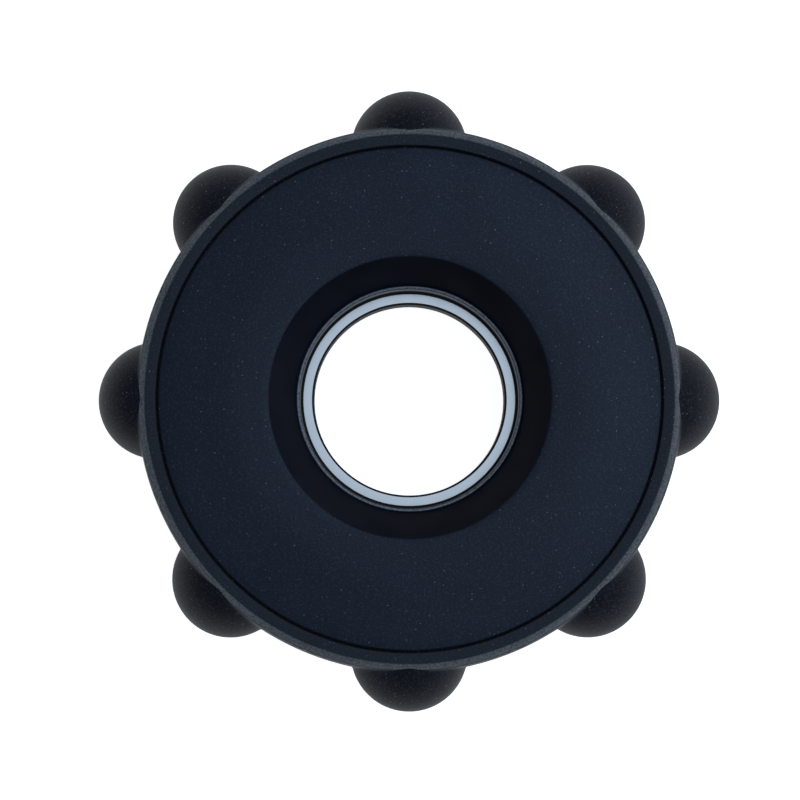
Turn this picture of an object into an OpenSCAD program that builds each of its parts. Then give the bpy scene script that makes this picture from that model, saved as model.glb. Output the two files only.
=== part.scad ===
// Knobbed massage roller wheel: a soft tyre with a ring of round knobs on a two-part core,
// turning on one thin-section ball bearing whose bore slides on a bar.
// Millimetres. The wheel's axis is Z and the middle of its bearing is the origin.

/* [Tyre] */
// Diameter of the tyre over the middle of its crown, without the knobs
tyre_d = 143; // [115:1:180]
// Width of the tyre from bead to bead
tyre_w = 36; // [28:0.5:44]
// Thickness of the tyre from the core's rim to the crown
tyre_wall = 11.5; // [9:0.5:14]
// Height of the crown above the edge of the tread
crown_rise = 1.2; // [0.4:0.1:3]
// Rounding between the tread and the bead
shoulder_round = 2.2; // [1:0.1:4]
// Width of the flat face of the bead
bead_w = 2.65; // [1.5:0.05:5]
// Height of the rib that keys the tyre into the core
tyre_key_h = 3; // [1.5:0.5:4]
// Width of that rib
tyre_key_w = 6; // [3:0.5:10]

/* [Knobs] */
// Number of knobs around the tread
knob_count = 8; // [4:1:10]
// Radius of a knob's outline, seen along the axis
knob_r = 15.4; // [10:0.1:18]
// Depth of a knob's centre below the crown
knob_sink = 5.1; // [1:0.1:8]

/* [Face skins] */
// Overall width of the wheel, from the front land to the rear land
face_w = 52; // [44:0.5:62]
// Thickness of the soft skin on each face
skin_t = 2.5; // [1.5:0.1:3.2]
// Gap between the edge of a skin and the tyre's bead
groove_w = 0.8; // [0.3:0.1:2]
// Width of the flat land that the wheel lies on
land_w = 3; // [1:0.5:4]
// Radius of the dome between the land and the sloping edge of the face
face_bend = 25; // [12:0.5:30]
// Rounding of the outer edge of a skin
skin_edge_round = 1.2; // [0.5:0.1:2]
// Radius at which the flat land turns down into the hub recess
mouth_r = 38.9; // [38.5:0.1:41]
// Rounding of the mouth of the hub recess
mouth_round = 3.3; // [3:0.1:5]
// Height of the inner lip of the recess above the middle of the wheel
lip_h = 15.5; // [12:0.5:19]
// Rounding of that lip
lip_round = 0.6; // [0.3:0.1:1.5]
// Width of the flat top of that lip
lip_top = 0.35; // [0.1:0.05:1]
// Radial gap between the lip's well and the bearing's inner race
well_gap = 0.55; // [0.3:0.05:1]
// Distance of the rib that keys a skin into the core from the core's rim
skin_key_in = 3.5; // [2.5:0.5:5]
// Width and depth of that rib
skin_key = 2; // [1:0.1:2.5]

/* [Bearing] */
// Bore of the inner race, which slides on the bar
bore_d = 50; // [42:0.5:52]
// Outer diameter of the outer race
bearing_d = 72; // [66:0.5:74]
// Width of both races
bearing_w = 12; // [10:0.5:16]
// Diameter of a ball
ball_d = 6.74; // [5:0.02:8]
// Number of balls
ball_count = 18; // [8:1:20]
// Thickness of a seal
seal_t = 0.8; // [0.5:0.1:1.2]
// Depth of a seal below the face of the races
seal_set = 0.3; // [0.2:0.05:0.5]
// Width of the step in the outer race that a seal seats in
seal_step = 0.9; // [0.5:0.1:1.5]
// Chamfer at the bore and around the outer race
race_chamfer = 0.5; // [0.3:0.1:1]

/* [Core] */
// Wall under the skin, around the bearing and at the rim
core_wall = 3; // [2:0.5:4]
// Thickness of a rib
rib_t = 3; // [2:0.5:5]
// Wall around a clamp screw's head
boss_wall = 1.5; // [1:0.5:3]
// Depth of a clamp screw's head, and of a nut's end, below the core's surface
head_set = 0.5; // [0.3:0.1:1]
// Number of clamp screws, and of ribs between them
screw_count = 8; // [4:1:8]
// Diameter of a clamp screw's shank
screw_d = 4; // [3:0.5:5]
// Length of a clamp screw's tip past its nut
screw_tip = 0.4; // [0.1:0.1:0.6]
// Diameter of a clamp screw's head
screw_head_d = 7; // [6:0.5:8.5]
// Height of a clamp screw's head
screw_head_h = 4; // [2:0.5:5]
// Width of the hexagonal socket in that head, across its corners
socket_d = 3; // [2:0.1:4]
// Thickness of a nut
nut_h = 3.2; // [2.4:0.1:4]
// Width of a nut across its flats
nut_af = 7; // [5.5:0.5:8]

/* [Clearances] */
// Gap between fixed pieces that seat in each other
seat_gap = 0.05; // [0.02:0.01:0.1]
// Gap around a screw's shank in the core
screw_gap = 0.2; // [0.1:0.05:0.4]
// Gap between a ball and its groove
ball_gap = 0.03; // [0.01:0.01:0.05]
// Gap between a ball and its cage pocket
pocket_gap = 0.12; // [0.05:0.01:0.2]
// Gap between a seal and the inner race
seal_gap = 0.3; // [0.1:0.05:0.5]
// Gap between the cage and a seal
cage_gap = 0.35; // [0.2:0.05:0.6]
// Gap between the races' faces and what covers them
face_gap = 0.4; // [0.3:0.05:0.8]

/* [Hidden] */
function ball_name(i) = str("ball_", i < 10 ? "0" : "", i);
$fn = 96;
arc_steps = 8;
knob_steps = 24;
join = 0.01; // solids that make one piece overlap by this much
through = 1; // cuts run past a face by this much

// Tyre
crown_r = tyre_d / 2;
bead_z = tyre_w / 2;
crown_arc_r = (bead_z * bead_z + crown_rise * crown_rise) / (2 * crown_rise);
crown_centre_r = crown_r - crown_arc_r;
shoulder_z = bead_z - shoulder_round;
shoulder_r = crown_centre_r
    + sqrt(pow(crown_arc_r - shoulder_round, 2) - shoulder_z * shoulder_z);
shoulder_a = asin(shoulder_z / (crown_arc_r - shoulder_round));
bead_inner_r = shoulder_r - bead_w;
tyre_seat_r = crown_r - tyre_wall;
ledge_z = bead_z - skin_t;
knob_ring_r = crown_r - knob_sink;

// Bearing
bore_r = bore_d / 2;
race_z = bearing_w / 2;
bearing_r = bearing_d / 2;
pitch_r = (bore_r + bearing_r) / 2;
ball_r = ball_d / 2;
groove_r = ball_r + ball_gap;
shoulder_share = 0.77; // a race's shoulder stands this share of the groove's radius from the pitch
inner_shoulder_r = pitch_r - shoulder_share * groove_r;
outer_shoulder_r = pitch_r + shoulder_share * groove_r;
seal_seat_r = outer_shoulder_r + seal_step;
seal_seat_z = race_z - seal_set - seal_t - seat_gap;
cage_share = 0.65; // the cage fills this share of the room between the races' shoulders
cage_rim_share = 0.35; // and its open edge stands this share of a ball's radius past the middle

// Skin outline: circles at the dome, the outer edge and the recess's mouth, joined by the lines that
// touch them. An angle is that of the outward normal, measured from the radial direction.
face_z = face_w / 2;
skin_edge_r = bead_inner_r - groove_w;
well_r = inner_shoulder_r + well_gap;
liner_r = well_r + skin_t;
skin_key_r = tyre_seat_r - skin_key_in;
well_floor_z = race_z + face_gap;
land_r = mouth_r + land_w;
bend_c = [land_r, face_z - face_bend];
edge_c = [skin_edge_r - skin_edge_round, bead_z - skin_edge_round];
mouth_c = [mouth_r, face_z - mouth_round];
lip_c = [well_r + lip_round, lip_h - lip_round];
lip_end = [lip_c[0] + lip_top, lip_h];
function direction(v) = atan2(v[1], v[0]);
slope_a = direction(edge_c - bend_c)
    + acos((face_bend - skin_edge_round) / norm(edge_c - bend_c));
cone_a = 360 + direction(lip_end - mouth_c) - acos(mouth_round / norm(lip_end - mouth_c));

// Height of the face, and of the recess cone, at radius r and at a depth under the surface
function face_at(r, depth) =
    r < bend_c[0] + (face_bend - depth) * cos(slope_a)
        ? bend_c[1] + sqrt(pow(face_bend - depth, 2) - pow(r - bend_c[0], 2))
        : bend_c[1] + (face_bend - depth - (r - bend_c[0]) * cos(slope_a)) / sin(slope_a);
function cone_z(r, depth) =
    mouth_c[1] + (mouth_round - depth - (r - mouth_c[0]) * cos(cone_a)) / sin(cone_a);

// Core
core_depth = skin_t + seat_gap;
rim_r = tyre_seat_r - seat_gap;
key_floor_r = tyre_seat_r - tyre_key_h - seat_gap;
rim_inner_r = key_floor_r - core_wall;
hub_outer_r = bearing_r + core_wall;
screw_ring_r = (hub_outer_r + rim_inner_r) / 2;
screw_r = screw_d / 2;
boss_r = screw_head_d / 2 + boss_wall;
head_seat_z = face_at(screw_ring_r + screw_head_d / 2, core_depth) - screw_head_h - head_set;
screw_tip_z = head_seat_z + nut_h + screw_tip;
clamp_r = seal_seat_r + screw_gap; // the core clamps the outer race outside this radius

// Points of an arc about c, from angle a to angle b
function arc(c, r, a, b, steps = arc_steps) =
    [for (i = [0:steps]) let (t = a + (b - a) * i / steps) c + r * [cos(t), sin(t)]];

// One child for each place around the axis
module around(count, start = 0) {
    for (i = [0:count - 1]) rotate([0, 0, start + i * 360 / count]) children();
}

// A ring with a square section, from height low to height high
module ring(outer, inner, low, high) {
    difference() {
        translate([0, 0, low]) cylinder(r = outer, h = high - low);
        translate([0, 0, low - through]) cylinder(r = inner, h = high - low + 2 * through);
    }
}

module knobbed_tyre() {
    shoulder_top = [shoulder_r, shoulder_z];
    shoulder_low = [shoulder_r, -shoulder_z];
    outline = concat(
        [[tyre_seat_r, ledge_z], [bead_inner_r, ledge_z], [bead_inner_r, bead_z]],
        arc(shoulder_top, shoulder_round, 90, shoulder_a),
        arc([crown_centre_r, 0], crown_arc_r, shoulder_a, -shoulder_a),
        arc(shoulder_low, shoulder_round, -shoulder_a, -90),
        [[bead_inner_r, -bead_z], [bead_inner_r, -ledge_z], [tyre_seat_r, -ledge_z],
         [tyre_seat_r, -tyre_key_w / 2], [tyre_seat_r - tyre_key_h, -tyre_key_w / 2],
         [tyre_seat_r - tyre_key_h, tyre_key_w / 2], [tyre_seat_r, tyre_key_w / 2]]);
    // A knob is as tall along the axis as the tyre is wide
    knob_half = [for (i = [0:knob_steps]) let (t = 180 * i / knob_steps - 90)
        [knob_r * cos(t), bead_z * sin(t)]];
    color("#1c2027") {
        rotate_extrude() polygon(outline);
        difference() {
            around(knob_count) translate([knob_ring_r, 0, 0]) rotate_extrude() polygon(knob_half);
            translate([0, 0, -bead_z - through])
                cylinder(r = bead_inner_r + bead_w / 2, h = tyre_w + 2 * through);
        }
    }
}

// The soft skin of one face, with its recess, its lip and the well down to the bearing
module face_skin() {
    outline = concat(
        [[well_r, well_floor_z]],
        arc(lip_c, lip_round, 180, 90),
        [lip_end],
        arc(mouth_c, mouth_round, cone_a, 90),
        arc(bend_c, face_bend, 90, slope_a),
        arc(edge_c, skin_edge_round, slope_a, 0),
        [[skin_edge_r, ledge_z + seat_gap], [tyre_seat_r, ledge_z + seat_gap],
         [tyre_seat_r, face_at(tyre_seat_r, skin_t)]],
        arc(bend_c, face_bend - skin_t, slope_a, 90),
        arc(mouth_c, mouth_round - skin_t, 90, cone_a),
        [[liner_r, cone_z(liner_r, skin_t)], [liner_r, well_floor_z]]);
    key_top = face_at(skin_key_r, skin_t);
    color("#1e222a") {
        rotate_extrude() polygon(outline);
        ring(skin_key_r + skin_key / 2, skin_key_r - skin_key / 2,
             key_top - skin_key, face_at(skin_key_r + skin_key / 2, skin_t / 2));
    }
}

// One half of the core with its flat side at the middle of the wheel
module core_half() {
    shell = concat(
        [[bearing_r + seat_gap, 0], [key_floor_r, 0], [key_floor_r, tyre_key_w / 2 + seat_gap],
         [rim_r, tyre_key_w / 2 + seat_gap], [rim_r, face_at(rim_r, core_depth)]],
        arc(bend_c, face_bend - core_depth, slope_a, 90),
        arc(mouth_c, mouth_round - core_depth, 90, cone_a),
        [[liner_r + seat_gap, cone_z(liner_r + seat_gap, core_depth)],
         [liner_r + seat_gap, race_z + face_gap], [clamp_r, race_z + face_gap],
         [clamp_r, race_z], [bearing_r + seat_gap, race_z]]);
    key_top = face_at(skin_key_r, skin_t);
    difference() {
        rotate_extrude() polygon(shell);
        // The hollow between the hub and the rim, less its ribs and screw bosses
        difference() {
            rotate_extrude() polygon([
                [hub_outer_r, -through], [rim_inner_r, -through],
                [rim_inner_r, face_at(rim_inner_r, core_depth + core_wall)],
                [land_r, face_z - core_depth - core_wall],
                [hub_outer_r, face_z - core_depth - 2 * core_wall]]);
            around(screw_count, 180 / screw_count)
                translate([hub_outer_r - through, -rib_t / 2, -2 * through])
                    cube([rim_inner_r - hub_outer_r + 2 * through, rib_t, face_z]);
            around(screw_count)
                translate([screw_ring_r, 0, -2 * through]) cylinder(r = boss_r, h = face_z);
        }
        around(screw_count)
            translate([screw_ring_r, 0, -through])
                cylinder(r = screw_r + screw_gap, h = face_z);
        ring(skin_key_r + skin_key / 2 + seat_gap, skin_key_r - skin_key / 2 - seat_gap,
             key_top - skin_key - seat_gap, face_z);
    }
}

module front_core_half() {
    color("#3a3d42") difference() {
        core_half();
        around(screw_count)
            translate([screw_ring_r, 0, head_seat_z])
                cylinder(r = screw_head_d / 2 + screw_gap, h = face_z);
    }
}

module rear_core_half() {
    color("#3a3d42") mirror([0, 0, 1]) difference() {
        core_half();
        around(screw_count)
            translate([screw_ring_r, 0, head_seat_z])
                cylinder(r = (nut_af / 2 + screw_gap) / cos(30), h = face_z, $fn = 6);
    }
}

module clamp_screws() {
    color("#8f959c") around(screw_count) translate([screw_ring_r, 0, 0]) {
        translate([0, 0, -screw_tip_z]) cylinder(r = screw_r, h = screw_tip_z + head_seat_z + join);
        difference() {
            translate([0, 0, head_seat_z]) cylinder(d = screw_head_d, h = screw_head_h);
            translate([0, 0, head_seat_z + screw_head_h / 2])
                cylinder(d = socket_d, h = screw_head_h, $fn = 6);
        }
    }
}

module clamp_nuts() {
    color("#8f959c") around(screw_count)
        translate([screw_ring_r, 0, -head_seat_z - nut_h]) difference() {
            cylinder(r = nut_af / 2 / cos(30), h = nut_h, $fn = 6);
            translate([0, 0, -through]) cylinder(r = screw_r + seat_gap, h = nut_h + 2 * through);
        }
}

// The ball groove that both races share
module ball_groove() {
    rotate_extrude() translate([pitch_r, 0]) circle(r = groove_r);
}

module bearing_outer_race() {
    c = race_chamfer;
    color("#a7adb3") difference() {
        rotate_extrude() polygon([
            [outer_shoulder_r, -seal_seat_z], [seal_seat_r, -seal_seat_z], [seal_seat_r, -race_z],
            [bearing_r - c, -race_z], [bearing_r, c - race_z], [bearing_r, race_z - c],
            [bearing_r - c, race_z], [seal_seat_r, race_z], [seal_seat_r, seal_seat_z],
            [outer_shoulder_r, seal_seat_z]]);
        ball_groove();
    }
}

module bearing_inner_race() {
    c = race_chamfer;
    color("#b4bcc4") difference() {
        rotate_extrude() polygon([
            [bore_r, c - race_z], [bore_r + c, -race_z], [inner_shoulder_r, -race_z],
            [inner_shoulder_r, race_z], [bore_r + c, race_z], [bore_r, race_z - c]]);
        ball_groove();
    }
}

module bearing_seal() {
    color("#14161a") ring(seal_seat_r - seat_gap, inner_shoulder_r + seal_gap,
                          seal_seat_z + seat_gap, seal_seat_z + seat_gap + seal_t);
}

// A crown cage: a ring with a round pocket for each ball, open at the front
module ball_cage() {
    cage_floor = -(seal_seat_z + seat_gap - cage_gap);
    cage_half = cage_share * (outer_shoulder_r - inner_shoulder_r) / 2;
    color("#d9d2bd") difference() {
        ring(pitch_r + cage_half, pitch_r - cage_half, cage_floor, cage_rim_share * ball_r);
        around(ball_count) translate([pitch_r, 0, 0]) sphere(r = ball_r + pocket_gap);
    }
}

module bearing_ball(i) {
    color("#c9ced3") rotate([0, 0, (i - 1) * 360 / ball_count])
        translate([pitch_r, 0, 0]) sphere(r = ball_r);
}

knobbed_tyre();
face_skin();  // front_face_skin
mirror([0, 0, 1]) face_skin();  // rear_face_skin
front_core_half();
rear_core_half();
clamp_screws();
clamp_nuts();
bearing_outer_race();
bearing_inner_race();
bearing_seal();  // front_bearing_seal
mirror([0, 0, 1]) bearing_seal();  // rear_bearing_seal
ball_cage();
for (i = [1:ball_count]) bearing_ball(i);
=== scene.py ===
import math

import bmesh
import bpy
from bpy.props import FloatProperty, FloatVectorProperty, IntProperty, PointerProperty
from mathutils import Matrix, Vector


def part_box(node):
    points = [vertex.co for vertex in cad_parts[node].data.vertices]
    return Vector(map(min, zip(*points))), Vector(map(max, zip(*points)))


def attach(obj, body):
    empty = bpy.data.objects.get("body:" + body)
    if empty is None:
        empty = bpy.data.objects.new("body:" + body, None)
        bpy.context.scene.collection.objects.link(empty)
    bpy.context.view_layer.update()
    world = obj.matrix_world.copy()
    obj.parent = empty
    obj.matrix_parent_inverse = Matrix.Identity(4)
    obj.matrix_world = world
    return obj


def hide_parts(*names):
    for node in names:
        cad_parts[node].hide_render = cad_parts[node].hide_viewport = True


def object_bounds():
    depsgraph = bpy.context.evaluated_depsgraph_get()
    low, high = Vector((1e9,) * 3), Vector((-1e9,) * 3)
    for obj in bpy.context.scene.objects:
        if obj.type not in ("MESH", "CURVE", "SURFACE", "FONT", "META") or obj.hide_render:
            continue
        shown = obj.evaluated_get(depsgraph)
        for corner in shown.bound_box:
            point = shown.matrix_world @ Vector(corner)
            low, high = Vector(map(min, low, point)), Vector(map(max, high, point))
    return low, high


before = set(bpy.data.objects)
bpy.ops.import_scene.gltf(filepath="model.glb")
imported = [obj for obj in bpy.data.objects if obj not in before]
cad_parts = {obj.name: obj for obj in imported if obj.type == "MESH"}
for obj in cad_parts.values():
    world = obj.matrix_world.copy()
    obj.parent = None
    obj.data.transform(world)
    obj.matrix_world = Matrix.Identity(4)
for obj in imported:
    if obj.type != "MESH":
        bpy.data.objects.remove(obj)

bl_info = {
    "name": "Knobbed Roller Wheel",
    "version": (1, 0, 0),
    "blender": (4, 5, 0),
    "location": "View3D > Sidebar > Roller Wheel",
    "description": "Builds the soft tyre, faces and bearing of a massage roller wheel",
    "category": "Add Mesh",
}

CAD_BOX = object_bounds()
MM = 0.001

# Kept between parts that would otherwise share a surface
CLEARANCE = 0.05 * MM
FLOOR_GAP = 0.1 * MM
# What is nearer than this counts as one point, or as on a surface
TOLERANCE = 0.02 * MM
# Roundings of corners that are not worth a setting
SOFT_CORNER = 0.2 * MM
INNER_CORNER = 0.5 * MM


# ---------------------------------------------------------------------------------------------
# Settings
# ---------------------------------------------------------------------------------------------

def length(name, description, millimetres):
    """A length that a user can change, given in millimetres and kept in metres."""
    return FloatProperty(name=name, description=description, default=millimetres * MM,
                         unit="LENGTH", precision=5)


def linear(hex_colour):
    """The linear red, green, blue and alpha of an sRGB colour such as 1e222a."""
    parts = [int(hex_colour[i:i + 2], 16) / 255 for i in (0, 2, 4)]
    parts = [part / 12.92 if part <= 0.04045 else ((part + 0.055) / 1.055) ** 2.4
             for part in parts]
    return (*parts, 1.0)


def shaded(tone, share):
    """A linear colour made darker or lighter by a share."""
    return (*(share * part for part in tone[:3]), 1.0)


def colour(name, description, hex_colour):
    """A colour that a user can change."""
    return FloatVectorProperty(name=name, description=description, subtype="COLOR", size=4,
                               min=0.0, max=1.0, default=linear(hex_colour))


class TyreSettings(bpy.types.PropertyGroup):
    """Sizes of the silicone tyre and its knobs."""
    crown_radius: length("Crown radius", "Radius over the middle of the tread", 71.5)
    crown_rise: length("Crown rise", "Height of the crown above the edge of the tread", 1.2)
    shoulder: length("Shoulder", "Rounding between the tread and the bead", 2.2)
    bead_width: length("Bead width", "Width of the bead's flat face", 2.65)
    bead_edge: length("Bead edge", "Rounding of the bead's inner edge", 0.25)
    seat_radius: length("Seat radius", "Radius of the tyre's inside on the core", 60.0)
    ledge_depth: length("Ledge depth", "Depth of the ledge that carries the face skin", 2.5)
    key_height: length("Key height", "Height of the rib that keys into the core", 3.0)
    key_width: length("Key width", "Width of that rib", 6.0)
    knob_radius: length("Knob radius", "Radius of a knob's dome", 15.4)
    knob_fillet: length("Knob fillet", "Fillet between a knob and the tread", 1.0)
    knob_count: IntProperty(name="Knobs", description="Knobs around the tread", default=8, min=3)
    # Painted shade: the tread and knobs, which face sideways, are coloured far darker than the bead
    # of the same silicone
    tread: colour("Tread", "Colour of the silicone on the tread and the knobs", "0f131c")
    rubber: colour("Bead", "Colour of the silicone on the bead", "242a35")


class FaceSettings(bpy.types.PropertyGroup):
    """Sizes of the soft skin on each face."""
    thickness: length("Thickness", "Thickness of the skin", 2.5)
    groove: length("Groove", "Gap between the skin and the tyre's bead", 0.7)
    mouth_radius: length("Mouth radius", "Radius of the recess's crisp edge", 36.45)
    mouth_edge: length("Mouth edge", "Rounding of that edge", 0.7)
    crown: length("Crown", "Radius of the gentle rounding between that edge and the land", 7.5)
    land_radius: length("Land radius", "Radius at which the flat land starts", 38.9)
    land_width: length("Land width", "Width of the flat land around the mouth", 3.0)
    dome: length("Dome", "Radius of the dome between the land and the sloping edge", 25.0)
    edge_round: length("Edge rounding", "Rounding of the skin's outer edge", 0.6)
    lip_height: length("Lip height", "Height of the recess's lip above the wheel's middle", 15.5)
    lip_round: length("Lip rounding", "Rounding of the lip", 0.6)
    lip_top: length("Lip top", "Width of the lip's flat top", 0.25)
    well_gap: length("Well gap", "Gap between the hub well and the inner race", 0.55)
    key_radius: length("Key radius", "Radius of the rib that keys into the core", 56.5)
    key_size: length("Key size", "Width and depth of that rib", 2.0)
    rubber: colour("Rubber", "Colour of the skin's silicone", "242d3b")
    # Painted shade: the recess's silicone is coloured far darker than the face's
    recess: colour("Recess", "Colour of the silicone in the recess", "050d1e")


class BearingSettings(bpy.types.PropertyGroup):
    """Sizes of the ball bearing's races and seals."""
    bore_radius: length("Bore radius", "Radius of the inner race's bore", 25.0)
    outer_radius: length("Outer radius", "Radius over the outer race", 36.0)
    ball_radius: length("Ball groove", "Radius of the groove that the balls run in", 3.4)
    chamfer: length("Chamfer", "Chamfer of the bore and of the outer race", 0.5)
    edge: length("Edge", "Rounding of a race's ground edges", 0.12)
    seal_groove: length("Seal groove", "Depth of the groove that a seal's lip runs in", 0.5)
    lip_gap: length("Lip gap", "Gap between a seal's lip and the floor of that groove", 0.14)
    steel: colour("Steel", "Colour of the ground races", "aeb6bc")


class StageSettings(bpy.types.PropertyGroup):
    """The floor, the lights and the camera."""
    camera_distance: length("Camera distance", "From the wheel's middle to the lens", 900.0)
    camera_tilt: FloatProperty(name="Camera tilt", description="Off the wheel's axis",
                               subtype="ANGLE", default=math.radians(2.0))
    camera_side: FloatProperty(name="Camera side", description="Round the axis, to the left",
                               subtype="ANGLE", default=math.radians(14.0))
    field: length("Field", "Width that the view takes in at the wheel's middle", 211.0)
    aim_left: length("Aim left", "How far left of the wheel's middle the camera aims", 2.4)
    aim_up: length("Aim up", "How far above the wheel's middle the camera aims", 0.2)
    tent_high: FloatProperty(name="Tent overhead", description="Brightness overhead",
                             default=1.35)
    tent_low: FloatProperty(name="Tent low down", description="Brightness near the floor",
                            default=0.08)
    tent_lean: FloatProperty(name="Tent lean", description="Lean of the bright part",
                             subtype="ANGLE", default=math.radians(18))
    tent_side: FloatProperty(name="Tent side", description="Direction of the bright part's lean",
                             subtype="ANGLE", default=math.radians(12))
    floor_glow: FloatProperty(name="Floor glow", description="Brightness of the lit floor",
                              default=0.88)
    floor_size: length("Floor size", "Width of the floor", 4000.0)
    light: colour("Light", "Colour of the soft studio light", "dfeaf7")
    paper: colour("Paper", "Colour of the floor", "f4f6f8")


# ---------------------------------------------------------------------------------------------
# Shapes
# ---------------------------------------------------------------------------------------------

def arc(centre, radius, start, end, steps):
    """Points of an arc in an outline, between two angles in radians."""
    turns = [start + (end - start) * step / steps for step in range(steps + 1)]
    return [(centre[0] + radius * math.cos(turn), centre[1] + radius * math.sin(turn))
            for turn in turns]


def direction(start, end):
    """The angle of the line from one outline point to another, and its length."""
    across, up = end[0] - start[0], end[1] - start[1]
    return math.atan2(up, across), math.hypot(across, up)


def rounded(corners, steps=5, hold=0.1 * MM):
    """A closed outline of (radius, height, rounding) corners, each rounding as an arc. A point
    near each end of a straight run keeps its shading flat."""
    arcs = []
    for index, (across, up, rounding) in enumerate(corners):
        here = Vector((across, up))
        if rounding == 0:
            arcs.append([tuple(here)])
            continue
        to_last = (Vector(corners[index - 1][:2]) - here).normalized()
        to_next = (Vector(corners[(index + 1) % len(corners)][:2]) - here).normalized()
        half = to_last.angle(to_next) / 2
        centre = here + (to_last + to_next).normalized() * rounding / math.sin(half)
        reach = rounding / math.tan(half)
        start = direction(centre, here + to_last * reach)[0]
        turn = direction(centre, here + to_next * reach)[0] - start
        turn = (turn + math.pi) % math.tau - math.pi
        arcs.append(arc(centre, rounding, start, start + turn, steps))
    outline = []
    for curve, following in zip(arcs, arcs[1:] + arcs[:1]):
        outline += curve
        run = Vector(following[0]) - Vector(curve[-1])
        if len(curve) + len(following) > 2 and run.length > 4 * hold:
            step = run.normalized() * hold
            outline += [tuple(Vector(curve[-1]) + step), tuple(Vector(following[0]) - step)]
    return outline


def turned(outline, steps):
    """A mesh whose closed outline of (radius, height) points is turned once round the axis."""
    bm = bmesh.new()
    points = [bm.verts.new((across, 0, up)) for across, up in outline]
    sides = [bm.edges.new(pair) for pair in zip(points, points[1:] + points[:1])]
    bmesh.ops.spin(bm, geom=points + sides, cent=(0, 0, 0), axis=(0, 0, 1),
                   angle=math.tau, steps=steps, use_merge=True)
    return bm


def ring_of(parts, kind):
    """The parts of that kind, such as vertices, from an operator's result."""
    return [part for part in parts if isinstance(part, kind)]


def radius_of(polygon):
    """How far the middle of a face stands from the wheel's axis."""
    return polygon.calc_center_median().xy.length


def finish_mesh(bm, crease_degrees=32):
    """Joins doubles, turns the faces outwards, and keeps only real corners sharp."""
    bmesh.ops.remove_doubles(bm, verts=bm.verts, dist=0.002 * MM)
    bmesh.ops.recalc_face_normals(bm, faces=bm.faces)
    for face in bm.faces:
        face.smooth = True
    crease = math.radians(crease_degrees)
    for edge in bm.edges:
        edge.smooth = not (edge.is_manifold and edge.calc_face_angle() > crease)


def add_piece(bm, name, body, slot, node, *materials):
    """Makes the mesh a piece that rides on a body and stands for a node of the frame."""
    mesh = bpy.data.meshes.new(name)
    bm.to_mesh(mesh)
    bm.free()
    piece = bpy.data.objects.new(name, mesh)
    bpy.context.scene.collection.objects.link(piece)
    for material in materials:
        mesh.materials.append(material)
    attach(piece, body)
    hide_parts(node)
    return piece


def paint_node(name, material):
    """Gives a node of the frame its material."""
    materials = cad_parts[name].data.materials
    materials.clear()
    materials.append(material)


# ---------------------------------------------------------------------------------------------
# Materials
# ---------------------------------------------------------------------------------------------

def add_node(tree, kind, inputs=None, **settings):
    """Adds a shader node. Each input is a value, or the socket that it is linked to."""
    node = tree.nodes.new(kind)
    for name, value in settings.items():
        setattr(node, name, value)
    for name, value in (inputs or {}).items():
        if isinstance(value, bpy.types.NodeSocket):
            tree.links.new(value, node.inputs[name])
        else:
            node.inputs[name].default_value = value
    return node


def new_material(name):
    """A material with nothing but its output, and its node tree."""
    material = bpy.data.materials.new(name)
    material.use_nodes = True
    material.node_tree.nodes.clear()
    return material, material.node_tree


def finish_material(tree, inputs):
    """Ends a material in one Principled shader."""
    shader = add_node(tree, "ShaderNodeBsdfPrincipled", inputs)
    add_node(tree, "ShaderNodeOutputMaterial", {"Surface": shader.outputs["BSDF"]})


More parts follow.
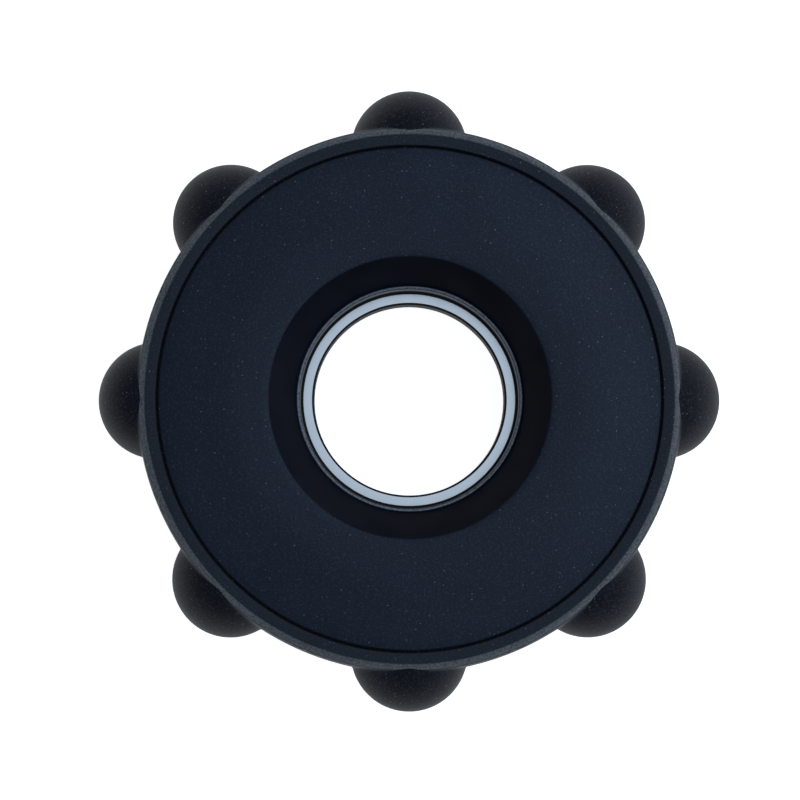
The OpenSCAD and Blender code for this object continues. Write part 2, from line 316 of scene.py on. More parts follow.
def moulded_silicone(name, rubber, seed, highlight_ring=None):
    """Platinum-cured silicone, moulded in a bead-blasted tool: a dry, soft-touch blue black that is
    dull face on, a little mottled, and always holds some lint. A paler ring, given by its radius,
    half its width and its colour, is a painted highlight broken up by the grain."""
    material, tree = new_material(name)
    place = add_node(tree, "ShaderNodeTexCoord").outputs["Object"]
    shifted = add_node(tree, "ShaderNodeVectorMath", {0: place, 1: (seed, 2 * seed, 3 * seed)},
                       operation="ADD").outputs["Vector"]
    # Uneven cure and handling, in patches some 18 mm across
    patches = add_node(tree, "ShaderNodeTexNoise",
                       {"Vector": shifted, "Scale": 1 / (18 * MM), "Detail": 3.0}).outputs["Fac"]
    # The blasted tool's grain is about 0.12 mm, drawn at 0.5 mm so that it shows
    grain = add_node(tree, "ShaderNodeTexNoise",
                     {"Vector": shifted, "Scale": 1 / (0.5 * MM), "Detail": 2.0}).outputs["Fac"]
    tone = add_node(tree, "ShaderNodeMix", {
        0: patches, 6: shaded(rubber, 0.82), 7: shaded(rubber, 1.15)}, data_type="RGBA")
    grey = add_node(tree, "ShaderNodeMapRange", {"Value": grain, "From Min": 0.5, "From Max": 0.75,
                                                 "To Min": 0.0, "To Max": 0.24}).outputs["Result"]
    surface = add_node(tree, "ShaderNodeMix", {0: grey, 6: tone.outputs[2], 7: linear("5a616b")},
                       data_type="RGBA").outputs[2]
    # Painted highlight: a pale ring at a given radius, broken up by the grain
    if highlight_ring:
        flat = add_node(tree, "ShaderNodeVectorMath", {0: place, 1: (1.0, 1.0, 0.0)},
                        operation="MULTIPLY").outputs["Vector"]
        radius = add_node(tree, "ShaderNodeVectorMath", {0: flat},
                          operation="LENGTH").outputs["Value"]
        beside = add_node(tree, "ShaderNodeMath", {0: radius, 1: highlight_ring[0]},
                          operation="SUBTRACT").outputs["Value"]
        beside = add_node(tree, "ShaderNodeMath", {0: beside},
                          operation="ABSOLUTE").outputs["Value"]
        ring = add_node(tree, "ShaderNodeMapRange", {
            "Value": beside, "From Min": 0.5 * highlight_ring[1], "From Max": highlight_ring[1],
            "To Min": 1.0, "To Max": 0.0}, interpolation_type="SMOOTHSTEP").outputs["Result"]
        highlight_mix = add_node(tree, "ShaderNodeMapRange", {
            "Value": grain, "From Min": 0.3, "From Max": 0.7,
            "To Min": 0.3, "To Max": 1.0}).outputs["Result"]
        highlight_paint = add_node(tree, "ShaderNodeMath", {0: ring, 1: highlight_mix}, operation="MULTIPLY")
        surface = add_node(tree, "ShaderNodeMix", {
            0: highlight_paint.outputs["Value"], 6: surface, 7: linear(highlight_ring[2])},
            data_type="RGBA").outputs[2]
    # Specks of lint up to 0.3 mm across, no more than one to a cell of 1.2 mm, most of them faint
    cells = add_node(tree, "ShaderNodeTexVoronoi", {"Vector": shifted, "Scale": 1 / (1.2 * MM)})
    near = add_node(tree, "ShaderNodeMapRange",
                    {"Value": cells.outputs["Distance"], "From Min": 0.06, "From Max": 0.13,
                     "To Min": 1.0, "To Max": 0.0}).outputs["Result"]
    chosen = add_node(tree, "ShaderNodeSeparateColor", {"Color": cells.outputs["Color"]})
    bright = add_node(tree, "ShaderNodeMapRange",
                      {"Value": chosen.outputs["Red"], "From Min": 0.35, "From Max": 1.0,
                       "To Min": 0.0, "To Max": 1.0}).outputs["Result"]
    faint = add_node(tree, "ShaderNodeMath", {0: bright, 1: 2.0}, operation="POWER")
    lint = add_node(tree, "ShaderNodeMath", {0: near, 1: faint.outputs["Value"]},
                    operation="MULTIPLY")
    dusty = add_node(tree, "ShaderNodeMix", {
        0: lint.outputs["Value"], 6: surface, 7: linear("9aa0a8")}, data_type="RGBA")
    roughness = add_node(tree, "ShaderNodeMapRange",
                         {"Value": patches, "From Min": 0.3, "From Max": 0.7,
                          "To Min": 0.54, "To Max": 0.62})
    bump = add_node(tree, "ShaderNodeBump", {"Height": grain, "Strength": 0.35,
                                             "Distance": 0.03 * MM})
    finish_material(tree, {
        "Base Color": dusty.outputs[2],
        "Roughness": roughness.outputs["Result"],
        "Normal": bump.outputs["Normal"],
        "IOR": 1.41,
        "Specular IOR Level": 0.15,
    })
    return material


def polished_silicone(name, rubber):
    """The same silicone where the tool's core was polished: smooth and free of lint,
    with a low satin gloss. Its colour is given far darker than the face's, as painted shade of the
    recess."""
    material, tree = new_material(name)
    place = add_node(tree, "ShaderNodeTexCoord").outputs["Object"]
    # Flow marks some 9 mm across
    patches = add_node(tree, "ShaderNodeTexNoise",
                       {"Vector": place, "Scale": 1 / (9 * MM), "Detail": 2.0}).outputs["Fac"]
    # The lapped tool's faint grain, drawn at 0.3 mm so that it shows
    grain = add_node(tree, "ShaderNodeTexNoise",
                     {"Vector": place, "Scale": 1 / (0.3 * MM), "Detail": 1.0}).outputs["Fac"]
    base = add_node(tree, "ShaderNodeMix", {0: patches, 6: shaded(rubber, 0.8), 7: tuple(rubber)},
                    data_type="RGBA")
    roughness = add_node(tree, "ShaderNodeMapRange",
                         {"Value": patches, "From Min": 0.3, "From Max": 0.7,
                          "To Min": 0.3, "To Max": 0.36})
    bump = add_node(tree, "ShaderNodeBump", {"Height": grain, "Strength": 0.06,
                                             "Distance": 0.01 * MM})
    finish_material(tree, {
        "Base Color": base.outputs[2],
        "Roughness": roughness.outputs["Result"],
        "Normal": bump.outputs["Normal"],
        "IOR": 1.41,
        "Specular IOR Level": 0.35,
    })
    return material


def ground_steel(name, steel):
    """Through-hardened bearing steel, its faces plunge ground: a pale satin grey, a little
    cloudy, with a fine grain."""
    material, tree = new_material(name)
    place = add_node(tree, "ShaderNodeTexCoord").outputs["Object"]
    # Grinding grit of 0.05 mm, drawn at 0.25 mm so that it shows
    grain = add_node(tree, "ShaderNodeTexNoise",
                     {"Vector": place, "Scale": 1 / (0.25 * MM), "Detail": 3.0}).outputs["Fac"]
    clouds = add_node(tree, "ShaderNodeTexNoise",
                      {"Vector": place, "Scale": 1 / (6 * MM), "Detail": 2.0}).outputs["Fac"]
    mixed = add_node(tree, "ShaderNodeMath", {0: grain, 1: clouds}, operation="ADD")
    base = add_node(tree, "ShaderNodeMix", {0: grain, 6: shaded(steel, 0.88), 7: tuple(steel)},
                    data_type="RGBA")
    roughness = add_node(tree, "ShaderNodeMapRange",
                         {"Value": mixed.outputs["Value"], "From Min": 0.6, "From Max": 1.4,
                          "To Min": 0.18, "To Max": 0.26})
    bump = add_node(tree, "ShaderNodeBump", {"Height": grain, "Strength": 0.25,
                                             "Distance": 0.01 * MM})
    finish_material(tree, {
        "Base Color": base.outputs[2],
        "Metallic": 1.0,
        "Roughness": roughness.outputs["Result"],
        "Normal": bump.outputs["Normal"],
    })
    return material


def grained_solid(name, base_hex, metallic, roughness, grain_mm, relief_mm):
    """A plain moulded or machined finish whose colour, gloss and relief follow one fine grain."""
    material, tree = new_material(name)
    place = add_node(tree, "ShaderNodeTexCoord").outputs["Object"]
    grain = add_node(tree, "ShaderNodeTexNoise",
                     {"Vector": place, "Scale": 1 / (grain_mm * MM), "Detail": 3.0}).outputs["Fac"]
    tone = linear(base_hex)
    base = add_node(tree, "ShaderNodeMix", {0: grain, 6: shaded(tone, 0.8), 7: tone},
                    data_type="RGBA")
    gloss = add_node(tree, "ShaderNodeMapRange",
                     {"Value": grain, "From Min": 0.3, "From Max": 0.7,
                      "To Min": roughness - 0.06, "To Max": roughness + 0.06})
    bump = add_node(tree, "ShaderNodeBump", {"Height": grain, "Strength": 0.3,
                                             "Distance": relief_mm * MM})
    finish_material(tree, {
        "Base Color": base.outputs[2],
        "Metallic": metallic,
        "Roughness": gloss.outputs["Result"],
        "Normal": bump.outputs["Normal"],
    })
    return material


# ---------------------------------------------------------------------------------------------
# The tyre
# ---------------------------------------------------------------------------------------------

class TyreForm:
    """The curves that the tyre's surface follows, worked out from its settings. A place on the
    tread is how far along it lies beside a knob's axis, and how far up the tread and the shoulder
    from the wheel's middle."""

    def __init__(self, tyre):
        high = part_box("knobbed_tyre")[1]
        self.bead_height = high.z
        self.knob_radius = tyre.knob_radius
        self.knob_ring = high.x - tyre.knob_radius
        self.fillet = tyre.knob_fillet
        self.half_sector = math.pi / tyre.knob_count
        rise, width = tyre.crown_rise, self.bead_height
        self.crown_arc = (width * width + rise * rise) / (2 * rise)
        self.crown_centre = tyre.crown_radius - self.crown_arc
        self.shoulder = tyre.shoulder
        self.tread_edge = self.bead_height - tyre.shoulder
        inner_arc = self.crown_arc - tyre.shoulder
        self.shoulder_radius = self.crown_centre + math.sqrt(inner_arc ** 2 - self.tread_edge ** 2)
        self.shoulder_turn = math.asin(self.tread_edge / inner_arc)
        self.crown_end = self.crown_arc * math.sin(self.shoulder_turn)
        self.end = self.crown_end + self.shoulder * (math.pi / 2 - self.shoulder_turn)
        self.bead_inner = self.shoulder_radius - tyre.bead_width

    def section(self, up):
        """Radius and height of the tread or the shoulder, that far up from the middle."""
        if abs(up) <= self.crown_end:
            return self.crown_centre + math.sqrt(self.crown_arc ** 2 - up ** 2), up
        turn = self.shoulder_turn + (abs(up) - self.crown_end) / self.shoulder
        height = self.tread_edge + self.shoulder * math.sin(turn)
        return self.shoulder_radius + self.shoulder * math.cos(turn), math.copysign(height, up)

    def up_at(self, height):
        """How far up from the middle the tread or the shoulder has that height."""
        if abs(height) <= self.crown_end:
            return height
        turn = math.asin(min((abs(height) - self.tread_edge) / self.shoulder, 1.0))
        return math.copysign(self.crown_end + self.shoulder * (turn - self.shoulder_turn), height)

    def surface(self, along, up):
        """The point of the tread's surface at a place."""
        radius, height = self.section(up)
        return math.sqrt(radius ** 2 - along ** 2), along, height

    def on_bead(self, point):
        """Whether a point lies on the shoulder or the bead, and not on the tread or a knob."""
        radius, past = point.xy.length, abs(point.z) - self.tread_edge
        if radius < self.shoulder_radius:
            return abs(point.z) > self.tread_edge
        reach = math.hypot(radius - self.shoulder_radius, past)
        return past > 0 and reach < self.shoulder + TOLERANCE

    def foot(self, turn, rise, out):
        """The tread's nearest point to one in the plane through a knob's axis that leans by
        turn, and how far off it is."""
        def tread(reach):
            radius, _ = self.section(self.up_at(reach * math.sin(turn)))
            return math.sqrt(radius ** 2 - (reach * math.cos(turn)) ** 2)

        reach, step = out - 0.3 * self.fillet, TOLERANCE
        for _ in range(8):
            slope = (tread(reach) - tread(reach - step)) / step
            reach += ((rise - tread(reach)) * slope + out - reach) / (1 + slope ** 2)
            reach = min(reach, 0.9999 * self.bead_height / max(abs(math.sin(turn)), 0.01))
        gap = math.hypot(rise - tread(reach), out - reach)
        return tread(reach), reach, math.copysign(gap, rise - tread(reach))

    def fillet_on(self, turn):
        """Where the knob's dome ends in that plane, the fillet's centre and its foot."""
        across = 1 / math.hypot(math.cos(turn) / self.knob_radius,
                                math.sin(turn) / self.bead_height)
        low, high = math.radians(45), math.radians(90)
        for _ in range(30):
            lean = (low + high) / 2
            away = Vector((math.cos(lean) / self.knob_radius, math.sin(lean) / across)).normalized()
            rise = self.knob_ring + self.knob_radius * math.cos(lean) + self.fillet * away.x
            out = across * math.sin(lean) + self.fillet * away.y
            gap = self.foot(turn, rise, out)[2]
            low, high = (lean, high) if gap > self.fillet else (low, lean)
        return across, lean, away, (rise, out), self.foot(turn, rise, out)


# Rings of points on a knob's dome, on its fillet and on its share of the tread
DOME_RINGS = 26
FILLET_RINGS = 7
TREAD_RINGS = 15
# Rays from a knob's tip, and the one that ends in a corner of its share of the tread
KNOB_RAYS = 120
CORNER_RAY = 12


def tread_border(form, turn):
    """Where a ray from a knob meets the border of its sector."""
    corner = math.tau * CORNER_RAY / KNOB_RAYS
    ahead, up = math.cos(turn), math.sin(turn)
    share = abs(up) * math.cos(corner) / max(abs(ahead) * math.sin(corner), 1e-9)
    if share < 1.000001:
        rise = math.copysign(form.end * min(share, 1.0), up)
        return math.copysign(form.section(rise)[0] * math.sin(form.half_sector), ahead), rise
    return (math.copysign(form.section(form.end)[0] * math.sin(form.half_sector) / share, ahead),
            math.copysign(form.end, up))


def knob_ray(form, turn):
    """Points from a knob's tip down its dome, round the fillet and out over the tread."""
    across, lean, away, centre, foot = form.fillet_on(turn)
    points = []
    for ring in range(DOME_RINGS + 1):
        angle = lean * ring / DOME_RINGS
        out = across * math.sin(angle)
        rise = form.knob_ring + form.knob_radius * math.cos(angle)
        points.append((rise, out * math.cos(turn), out * math.sin(turn)))
    start = math.atan2(-away.y, -away.x)
    sweep = math.atan2(foot[1] - centre[1], foot[0] - centre[0]) - start
    sweep = (sweep + math.pi) % math.tau - math.pi
    for ring in range(1, FILLET_RINGS + 1):
        angle = start + sweep * ring / FILLET_RINGS
        out = centre[1] + form.fillet * math.sin(angle)
        points.append((centre[0] + form.fillet * math.cos(angle),
                       out * math.cos(turn), out * math.sin(turn)))
    border = tread_border(form, turn)
    begin = (foot[1] * math.cos(turn), form.up_at(foot[1] * math.sin(turn)))
    for ring in range(1, TREAD_RINGS + 1):
        share = (ring / TREAD_RINGS) ** 1.4
        points.append(form.surface(begin[0] + (border[0] - begin[0]) * share,
                                   begin[1] + (border[1] - begin[1]) * share))
    return points


def knob_sector(form):
    """One knob with its share of the tread: a disc of rings, each ray of it laid on the form."""
    bm = bmesh.new()
    count = DOME_RINGS + FILLET_RINGS + TREAD_RINGS
    chain = [bm.verts.new((ring, 0, 0)) for ring in range(count + 1)]
    sides = [bm.edges.new(pair) for pair in zip(chain, chain[1:])]
    bmesh.ops.spin(bm, geom=chain + sides, cent=(0, 0, 0), axis=(0, 0, 1),
                   angle=math.tau, steps=KNOB_RAYS, use_merge=True)
    bmesh.ops.remove_doubles(bm, verts=bm.verts, dist=0.01)
    rays = [knob_ray(form, math.tau * ray / KNOB_RAYS) for ray in range(KNOB_RAYS)]
    for vert in bm.verts:
        ring = round(vert.co.length)
        ray = round(math.atan2(vert.co.y, vert.co.x) / math.tau * KNOB_RAYS) % KNOB_RAYS
        vert.co = rays[ray][ring]
    return bm


def sweep_ring(bm, edges, places):
    """Extrudes a ring of edges from place to place, each a (radius, height)."""
    for radius, height in places:
        made = bmesh.ops.extrude_edge_only(bm, edges=edges)["geom"]
        verts = set(ring_of(made, bmesh.types.BMVert))
        edges = [edge for edge in ring_of(made, bmesh.types.BMEdge)
                 if edge.verts[0] in verts and edge.verts[1] in verts]
        for vert in verts:
            vert.co.xy = vert.co.xy.normalized() * radius
            vert.co.z = height


def tyre_side(tyre, form):
    """Places from the shoulder's top over the bead and the ledge to the seat and its rib."""
    edge = tyre.bead_edge
    ledge = form.bead_height - tyre.ledge_depth
    corner = arc((form.bead_inner + edge, form.bead_height - edge), edge,
                 math.pi / 2, math.pi, 4)
    seat = tyre.seat_radius
    key = tyre.key_width / 2
    return corner + [
        (form.bead_inner, ledge), (seat, ledge), (seat, key),
        (seat - tyre.key_height, key), (seat - tyre.key_height, 0)]


class ROLLER_OT_tyre(bpy.types.Operator):
    """Models the silicone tyre with its ring of knobs"""
    bl_idname = "roller.tyre"
    bl_label = "Knobbed Tyre"

    def execute(self, context):
        tyre = context.scene.roller_tyre
        form = TyreForm(tyre)
        bm = knob_sector(form)
        # A clean edge for the tread's painted shade to end on: the tread and knobs take a darker
        # copy of the bead's silicone
        for side in (1, -1):
            bmesh.ops.bisect_plane(bm, geom=bm.verts[:] + bm.edges[:] + bm.faces[:],
                                   dist=0.01 * MM, plane_co=(0, 0, side * form.tread_edge),
                                   plane_no=(0, 0, 1))
        count = tyre.knob_count
        bmesh.ops.spin(bm, geom=bm.verts[:] + bm.edges[:] + bm.faces[:], cent=(0, 0, 0),
                       axis=(0, 0, 1), angle=math.tau * (count - 1) / count,
                       steps=count - 1, use_duplicate=True)
        bmesh.ops.remove_doubles(bm, verts=bm.verts, dist=TOLERANCE)
        places = tyre_side(tyre, form)
        rims = [edge for edge in bm.edges if edge.is_boundary]
        for side in (1, -1):
            rim = [edge for edge in rims if edge.verts[0].co.z * side > 0]
            sweep_ring(bm, rim, [(radius, height * side) for radius, height in places])
        finish_mesh(bm)
        # Painted highlight: a pale ring on the shoulder's ridge, broken up by the grain
        ridge = 0.45 * form.shoulder
        bead = moulded_silicone("bead_silicone_painted_highlight", tyre.rubber, 0.3,
                                (form.shoulder_radius + ridge, ridge, "6e7277"))
        # Painted shade: the tread and knobs get a far darker copy of the bead's silicone
        tread = moulded_silicone("tread_silicone_painted_shade", tyre.tread, 0.3)
        for polygon in bm.faces:
            polygon.material_index = not form.on_bead(polygon.calc_center_median())
        add_piece(bm, "silicone_tyre", "wheel", "tyre_silicone", "knobbed_tyre", bead, tread)
        return {"FINISHED"}


# ---------------------------------------------------------------------------------------------
# The faces
# ---------------------------------------------------------------------------------------------

def face_outline(face, tyre, top, race_radius):
    """The skin's outline: up the well, over the lip, up the recess's cone, over its crisp edge
    and the dome to the outer edge, and back under it."""
    form = TyreForm(tyre)
    thick = face.thickness
    edge_radius = form.bead_inner - face.groove
    ledge = form.bead_height - tyre.ledge_depth + CLEARANCE
    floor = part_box("front_face_skin")[0].z
    well = race_radius + face.well_gap
    dome = (face.land_radius + face.land_width, top - face.dome)
    edge = (edge_radius - face.edge_round, form.bead_height - face.edge_round)
    turn, reach = direction(dome, edge)
    slope = turn + math.acos((face.dome - face.edge_round) / reach)
    quarter = math.pi / 2

    def under_slope(radius, depth):
        run = (radius - dome[0]) * math.cos(slope)
        return dome[1] + (face.dome - depth - run) / math.sin(slope)

    crown = (face.land_radius, top - face.crown)
    crown_start = quarter + math.asin((face.land_radius - face.mouth_radius) / face.crown)
    crown_arc = arc(crown, face.crown, crown_start, quarter, 10)
    lip_end = well + face.lip_round + face.lip_top
    outside = (
        [(well, floor, 0), (well, face.lip_height, face.lip_round),
         (lip_end, face.lip_height, SOFT_CORNER / 2), crown_arc[0] + (face.mouth_edge,)]
        + [point + (0,) for point in crown_arc[3:] + arc(dome, face.dome, quarter, slope, 30)
           + arc(edge, face.edge_round, slope, 0, 10)]
        + [(edge_radius, ledge, 0)])
    key_out = face.key_radius + face.key_size / 2
    key_in = face.key_radius - face.key_size / 2
    key_floor = under_slope(face.key_radius, thick) - face.key_size
    liner = well + thick
    cone = math.atan2(crown_arc[0][1] - face.lip_height, crown_arc[0][0] - lip_end)
    cone_depth = thick / math.cos(cone)
    under_land = crown_arc[0][0] + (top - thick - crown_arc[0][1] + cone_depth) / math.tan(cone)
    inside = (
        [(tyre.seat_radius, ledge, 0), (tyre.seat_radius, under_slope(tyre.seat_radius, thick), 0),
         (key_out, under_slope(key_out, thick), 0), (key_out, key_floor, SOFT_CORNER),
         (key_in, key_floor, SOFT_CORNER), (key_in, under_slope(key_in, thick), 0)]
        + [point + (0,) for point in arc(dome, face.dome - thick, slope, quarter, 12)]
        + [(under_land, top - thick, INNER_CORNER),
           (liner, face.lip_height - cone_depth + (liner - lip_end) * math.tan(cone),
            INNER_CORNER),
           (liner, floor, 0)])
    return rounded(outside + inside, 8)


class ROLLER_OT_faces(bpy.types.Operator):
    """Models the soft skin of each face, with its hub recess and lip"""
    bl_idname = "roller.faces"
    bl_label = "Face Skins"

    def execute(self, context):
        face, tyre = context.scene.roller_face, context.scene.roller_tyre
        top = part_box("front_face_skin")[1].z
        race_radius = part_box("bearing_inner_race")[1].x
        outline = face_outline(face, tyre, top, race_radius)
        rubber = moulded_silicone("face_soft_touch_silicone", face.rubber, 1.7)
        # Painted shade: the recess's silicone is given a far darker colour than the face's
        smooth = polished_silicone("recess_polished_silicone_painted_shade", face.recess)
        # Painted highlight: the lip is painted pale in a ring, broken up by the grain, over the
        # recess's painted shade
        lip = face.lip_round + face.lip_top
        cone_start = race_radius + face.well_gap + lip
        cone_end = face.mouth_radius - SOFT_CORNER
        highlight_mix = moulded_silicone("lip_silicone_painted_shade_and_highlight", face.recess, 1.7,
                                (cone_start - lip / 2, 0.45 * lip, "848d98"))
        for side, node in ((1, "front_face_skin"), (-1, "rear_face_skin")):
            bm = turned(outline, 320)
            bmesh.ops.scale(bm, verts=bm.verts, vec=(1, 1, side))
            for polygon in bm.faces:
                radius, height = radius_of(polygon), abs(polygon.calc_center_median().z)
                on_lip = radius < cone_start and height > face.lip_height - face.lip_round
                polygon.material_index = (radius < cone_end) + on_lip
            finish_mesh(bm)
            name = node.replace("face_skin", "silicone_face")
            add_piece(bm, name, "wheel", "skin_silicone", node, rubber, smooth, highlight_mix)
        return {"FINISHED"}


# ---------------------------------------------------------------------------------------------
# The bearing
# ---------------------------------------------------------------------------------------------

class ROLLER_OT_races(bpy.types.Operator):
    """Models the ground races of the ball bearing"""
    bl_idname = "roller.races"
    bl_label = "Bearing Races"

    def execute(self, context):
        bearing = context.scene.roller_bearing
        steel = ground_steel("ground_bearing_steel", bearing.steel)
        # The bore is turned before hardening and never ground: a dark, dull hardening scale
        scale = grained_solid("hardening_scale_on_steel", "0c1017", 0.0, 0.8, 0.3, 0.01)
        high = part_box("bearing_inner_race")[1]
        seal_low, seal_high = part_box("front_bearing_seal")
        shoulder, half = high.x, high.z
        bore, edge, chamfer = bearing.bore_radius, bearing.edge, bearing.chamfer
        pitch = (bore + bearing.outer_radius) / 2
        start = math.acos((shoulder - pitch) / bearing.ball_radius)
        groove = shoulder - bearing.seal_groove
        lip_low, lip_high = seal_low.z - edge, seal_high.z - edge
        front = [(shoulder, lip_low, edge), (groove, lip_low, edge),
                 (groove, lip_high - edge, edge), (shoulder, lip_high, edge),
                 (shoulder, half, edge)]
        rear = [(across, -up, rounding) for across, up, rounding in reversed(front)]
        track = [point + (0,) for point in arc((pitch, 0), bearing.ball_radius,
                                               math.tau - start, start, 24)]
        outline = rounded(
            rear + track + front
            + [(bore + chamfer, half, edge), (bore, half - chamfer, edge),
               (bore, chamfer - half, edge), (bore + chamfer, -half, edge)], 4)
        bm = turned(outline, 256)
        for polygon in bm.faces:
            polygon.material_index = radius_of(polygon) < bore + chamfer
        finish_mesh(bm)
        add_piece(bm, "ground_inner_race", "hub", "bearing_steel", "bearing_inner_race",
                  steel, scale)
        paint_node("bearing_outer_race", steel)
        return {"FINISHED"}


class ROLLER_OT_seals(bpy.types.Operator):
    """Models the moulded seals, each with a lip in the inner race's groove"""
    bl_idname = "roller.seals"
    bl_label = "Bearing Seals"

    def execute(self, context):
        bearing = context.scene.roller_bearing
        # Nitrile rubber, moulded on a steel washer: dead matt black
        nitrile = grained_solid("moulded_nitrile", "0b0b0c", 0.0, 0.7, 0.3, 0.01)
        low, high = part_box("front_bearing_seal")
        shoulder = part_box("bearing_inner_race")[1].x
        tip = shoulder - bearing.seal_groove + bearing.lip_gap
        middle = (low.z + high.z) / 2
        lip, soft = (high.z - low.z) / 4, 0.08 * MM
        web = shoulder + 6 * lip
        outline = rounded([
            (high.x, low.z, soft), (high.x, high.z, 2 * soft), (high.x - 4 * lip, high.z, soft),
            (high.x - 5 * lip, high.z - lip, soft), (web, high.z - lip, soft),
            (web - lip, high.z, soft), (shoulder + lip, high.z, soft),
            (tip, middle, soft), (tip, middle - lip, soft), (shoulder + lip, low.z, soft)], 3)
        for side, node in ((1, "front_bearing_seal"), (-1, "rear_bearing_seal")):
            bm = turned(outline, 192)
            bmesh.ops.scale(bm, verts=bm.verts, vec=(1, 1, side))
            finish_mesh(bm)
            name = node.replace("bearing", "nitrile")
            add_piece(bm, name, "wheel", "seal_nitrile", node, nitrile)
        return {"FINISHED"}


class ROLLER_OT_hidden_parts(bpy.types.Operator):
    """Finishes the core, the fasteners, the cage and the balls"""
    bl_idname = "roller.hidden_parts"
    bl_label = "Core, Fasteners and Balls"

    def execute(self, context):
        # Glass-filled nylon, injection moulded: a dry charcoal with a fine spark-eroded grain
        nylon = grained_solid("moulded_glass_nylon", "33363b", 0.0, 0.6, 0.5, 0.03)
        # Steel screws and nuts, zinc plated and passivated: a cool, slightly cloudy silver
        zinc = grained_solid("zinc_plated_steel", "a9afb5", 1.0, 0.34, 1.5, 0.004)
        # Chrome steel balls, lapped: a clean mirror with hardly any grain
        lapped = grained_solid("lapped_ball_steel", "c4c8cc", 1.0, 0.12, 0.4, 0.0005)
        # Natural nylon cage, injection moulded: a waxy ivory
        ivory = grained_solid("natural_nylon", "d8cfb8", 0.0, 0.42, 0.8, 0.01)
        finishes = {
            "front_core_half": nylon, "rear_core_half": nylon,
            "clamp_screws": zinc, "clamp_nuts": zinc, "ball_cage": ivory}
        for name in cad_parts:
            if name.startswith("ball_") and name != "ball_cage":
                finishes[name] = lapped
        for name, material in finishes.items():
            paint_node(name, material)
        return {"FINISHED"}


# ---------------------------------------------------------------------------------------------
# The stage
# ---------------------------------------------------------------------------------------------

def add_softbox(name, azimuth, elevation, distance, size, brightness, tone):
    """An oblong soft light that faces the wheel. Its angles are in degrees, its sizes in metres,
    and its brightness is that of its cloth, on the same scale as the floor's glow."""
    across, up = math.radians(azimuth), math.radians(elevation)
    lamp = bpy.data.lights.new(name, "AREA")
    lamp.shape = "RECTANGLE"
    lamp.size, lamp.size_y = size
    lamp.energy = brightness * math.pi * lamp.size * lamp.size_y
    lamp.color = tone[:3]
    box = bpy.data.objects.new(name, lamp)
    box.location = (distance * math.cos(across) * math.cos(up),
                    distance * math.sin(across) * math.cos(up), distance * math.sin(up))
    box.rotation_euler = (-box.location).to_track_quat("-Z", "Y").to_euler()
    bpy.context.scene.collection.objects.link(box)


def add_tent(stage):
    """A white tent round the wheel: bright overhead, leaning to one side, and dim lower down."""
    world = bpy.data.worlds.new("tent")
    world.use_nodes = True
    tree = world.node_tree
    tree.nodes.clear()
    lean, side = stage.tent_lean, stage.tent_side
    peak = (math.sin(lean) * math.cos(side), math.sin(lean) * math.sin(side), math.cos(lean))
    outward = add_node(tree, "ShaderNodeTexCoord").outputs["Generated"]
    height = add_node(tree, "ShaderNodeVectorMath", {0: outward, 1: peak}, operation="DOT_PRODUCT")
    glow = add_node(tree, "ShaderNodeMapRange", {
        "Value": height.outputs["Value"], "From Min": 0.6, "From Max": 0.95,
        "To Min": stage.tent_low, "To Max": stage.tent_high}, interpolation_type="SMOOTHSTEP")
    light = add_node(tree, "ShaderNodeBackground", {
        "Color": tuple(stage.light), "Strength": glow.outputs["Result"]})
    add_node(tree, "ShaderNodeOutputWorld", {"Surface": light.outputs["Background"]})
    bpy.context.scene.world = world


def add_camera(stage):
    """The camera looks almost straight down the wheel's axis, with +Y up in the view."""
    lens = bpy.data.cameras.new("camera")
    lens.sensor_width = 36.0
    lens.lens = lens.sensor_width * stage.camera_distance / stage.field
    camera = bpy.data.objects.new("camera", lens)
    bpy.context.scene.collection.objects.link(camera)
    tilt, side = stage.camera_tilt, stage.camera_side
    away = Vector((-math.sin(side) * math.sin(tilt), -math.cos(side) * math.sin(tilt),
                   math.cos(tilt)))
    place = away * stage.camera_distance
    back = (place - Vector((-stage.aim_left, stage.aim_up, 0))).normalized()
    right = Vector((0, 1, 0)).cross(back).normalized()
    turn = Matrix((right, back.cross(right), back)).transposed()
    camera.matrix_world = Matrix.Translation(place) @ turn.to_4x4()
    bpy.context.scene.camera = camera


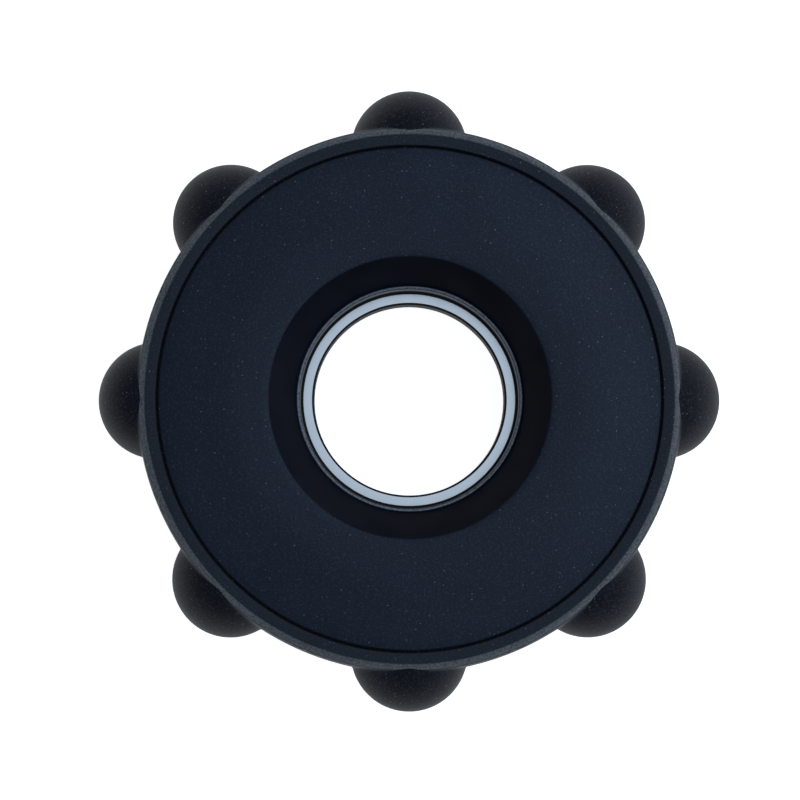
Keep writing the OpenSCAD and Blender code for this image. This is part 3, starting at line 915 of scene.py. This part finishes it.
class ROLLER_OT_stage(bpy.types.Operator):
    """Lays the floor, hangs the lights and places the camera"""
    bl_idname = "roller.stage"
    bl_label = "Stage"

    def execute(self, context):
        stage = context.scene.roller_stage
        scene = context.scene
        bm = bmesh.new()
        bmesh.ops.create_grid(bm, x_segments=1, y_segments=1, size=stage.floor_size / 2)
        bmesh.ops.translate(bm, verts=bm.verts, vec=(0, 0, CAD_BOX[0].z - FLOOR_GAP))
        mesh = bpy.data.meshes.new("paper_floor")
        bm.to_mesh(mesh)
        bm.free()
        floor = bpy.data.objects.new("paper_floor", mesh)
        scene.collection.objects.link(floor)
        # Matt white paper over a light panel
        material, tree = new_material("matt_white_paper")
        finish_material(tree, {
            "Base Color": tuple(stage.paper), "Roughness": 0.9,
            "Emission Color": (1.0, 1.0, 1.0, 1.0), "Emission Strength": stage.floor_glow})
        mesh.materials.append(material)

        add_tent(stage)
        add_softbox("side_softbox", azimuth=20, elevation=15, distance=1.6, size=(2.6, 0.75),
                    brightness=1.0, tone=tuple(stage.light))
        add_camera(stage)
        scene.view_settings.view_transform = "Standard"
        return {"FINISHED"}


# ---------------------------------------------------------------------------------------------
# The add-on
# ---------------------------------------------------------------------------------------------

STEPS = (
    ROLLER_OT_stage,
    ROLLER_OT_tyre,
    ROLLER_OT_faces,
    ROLLER_OT_races,
    ROLLER_OT_seals,
    ROLLER_OT_hidden_parts,
)

SETTINGS = {
    "roller_tyre": TyreSettings,
    "roller_face": FaceSettings,
    "roller_bearing": BearingSettings,
    "roller_stage": StageSettings,
}


class ROLLER_PT_panel(bpy.types.Panel):
    """Lists the pieces of the roller wheel"""
    bl_idname = "ROLLER_PT_panel"
    bl_label = "Roller Wheel"
    bl_space_type = "VIEW_3D"
    bl_region_type = "UI"
    bl_category = "Roller Wheel"

    def draw(self, context):
        for step in STEPS:
            self.layout.operator(step.bl_idname)


def register():
    for cls in (*SETTINGS.values(), *STEPS, ROLLER_PT_panel):
        bpy.utils.register_class(cls)
    for name, group in SETTINGS.items():
        setattr(bpy.types.Scene, name, PointerProperty(type=group))


def unregister():
    for name in SETTINGS:
        delattr(bpy.types.Scene, name)
    for cls in (ROLLER_PT_panel, *reversed(STEPS), *SETTINGS.values()):
        bpy.utils.unregister_class(cls)


def main():
    register()
    bpy.ops.roller.stage()
    bpy.ops.roller.tyre()
    bpy.ops.roller.faces()
    bpy.ops.roller.races()
    bpy.ops.roller.seals()
    bpy.ops.roller.hidden_parts()


if __name__ == "__main__":
    main()
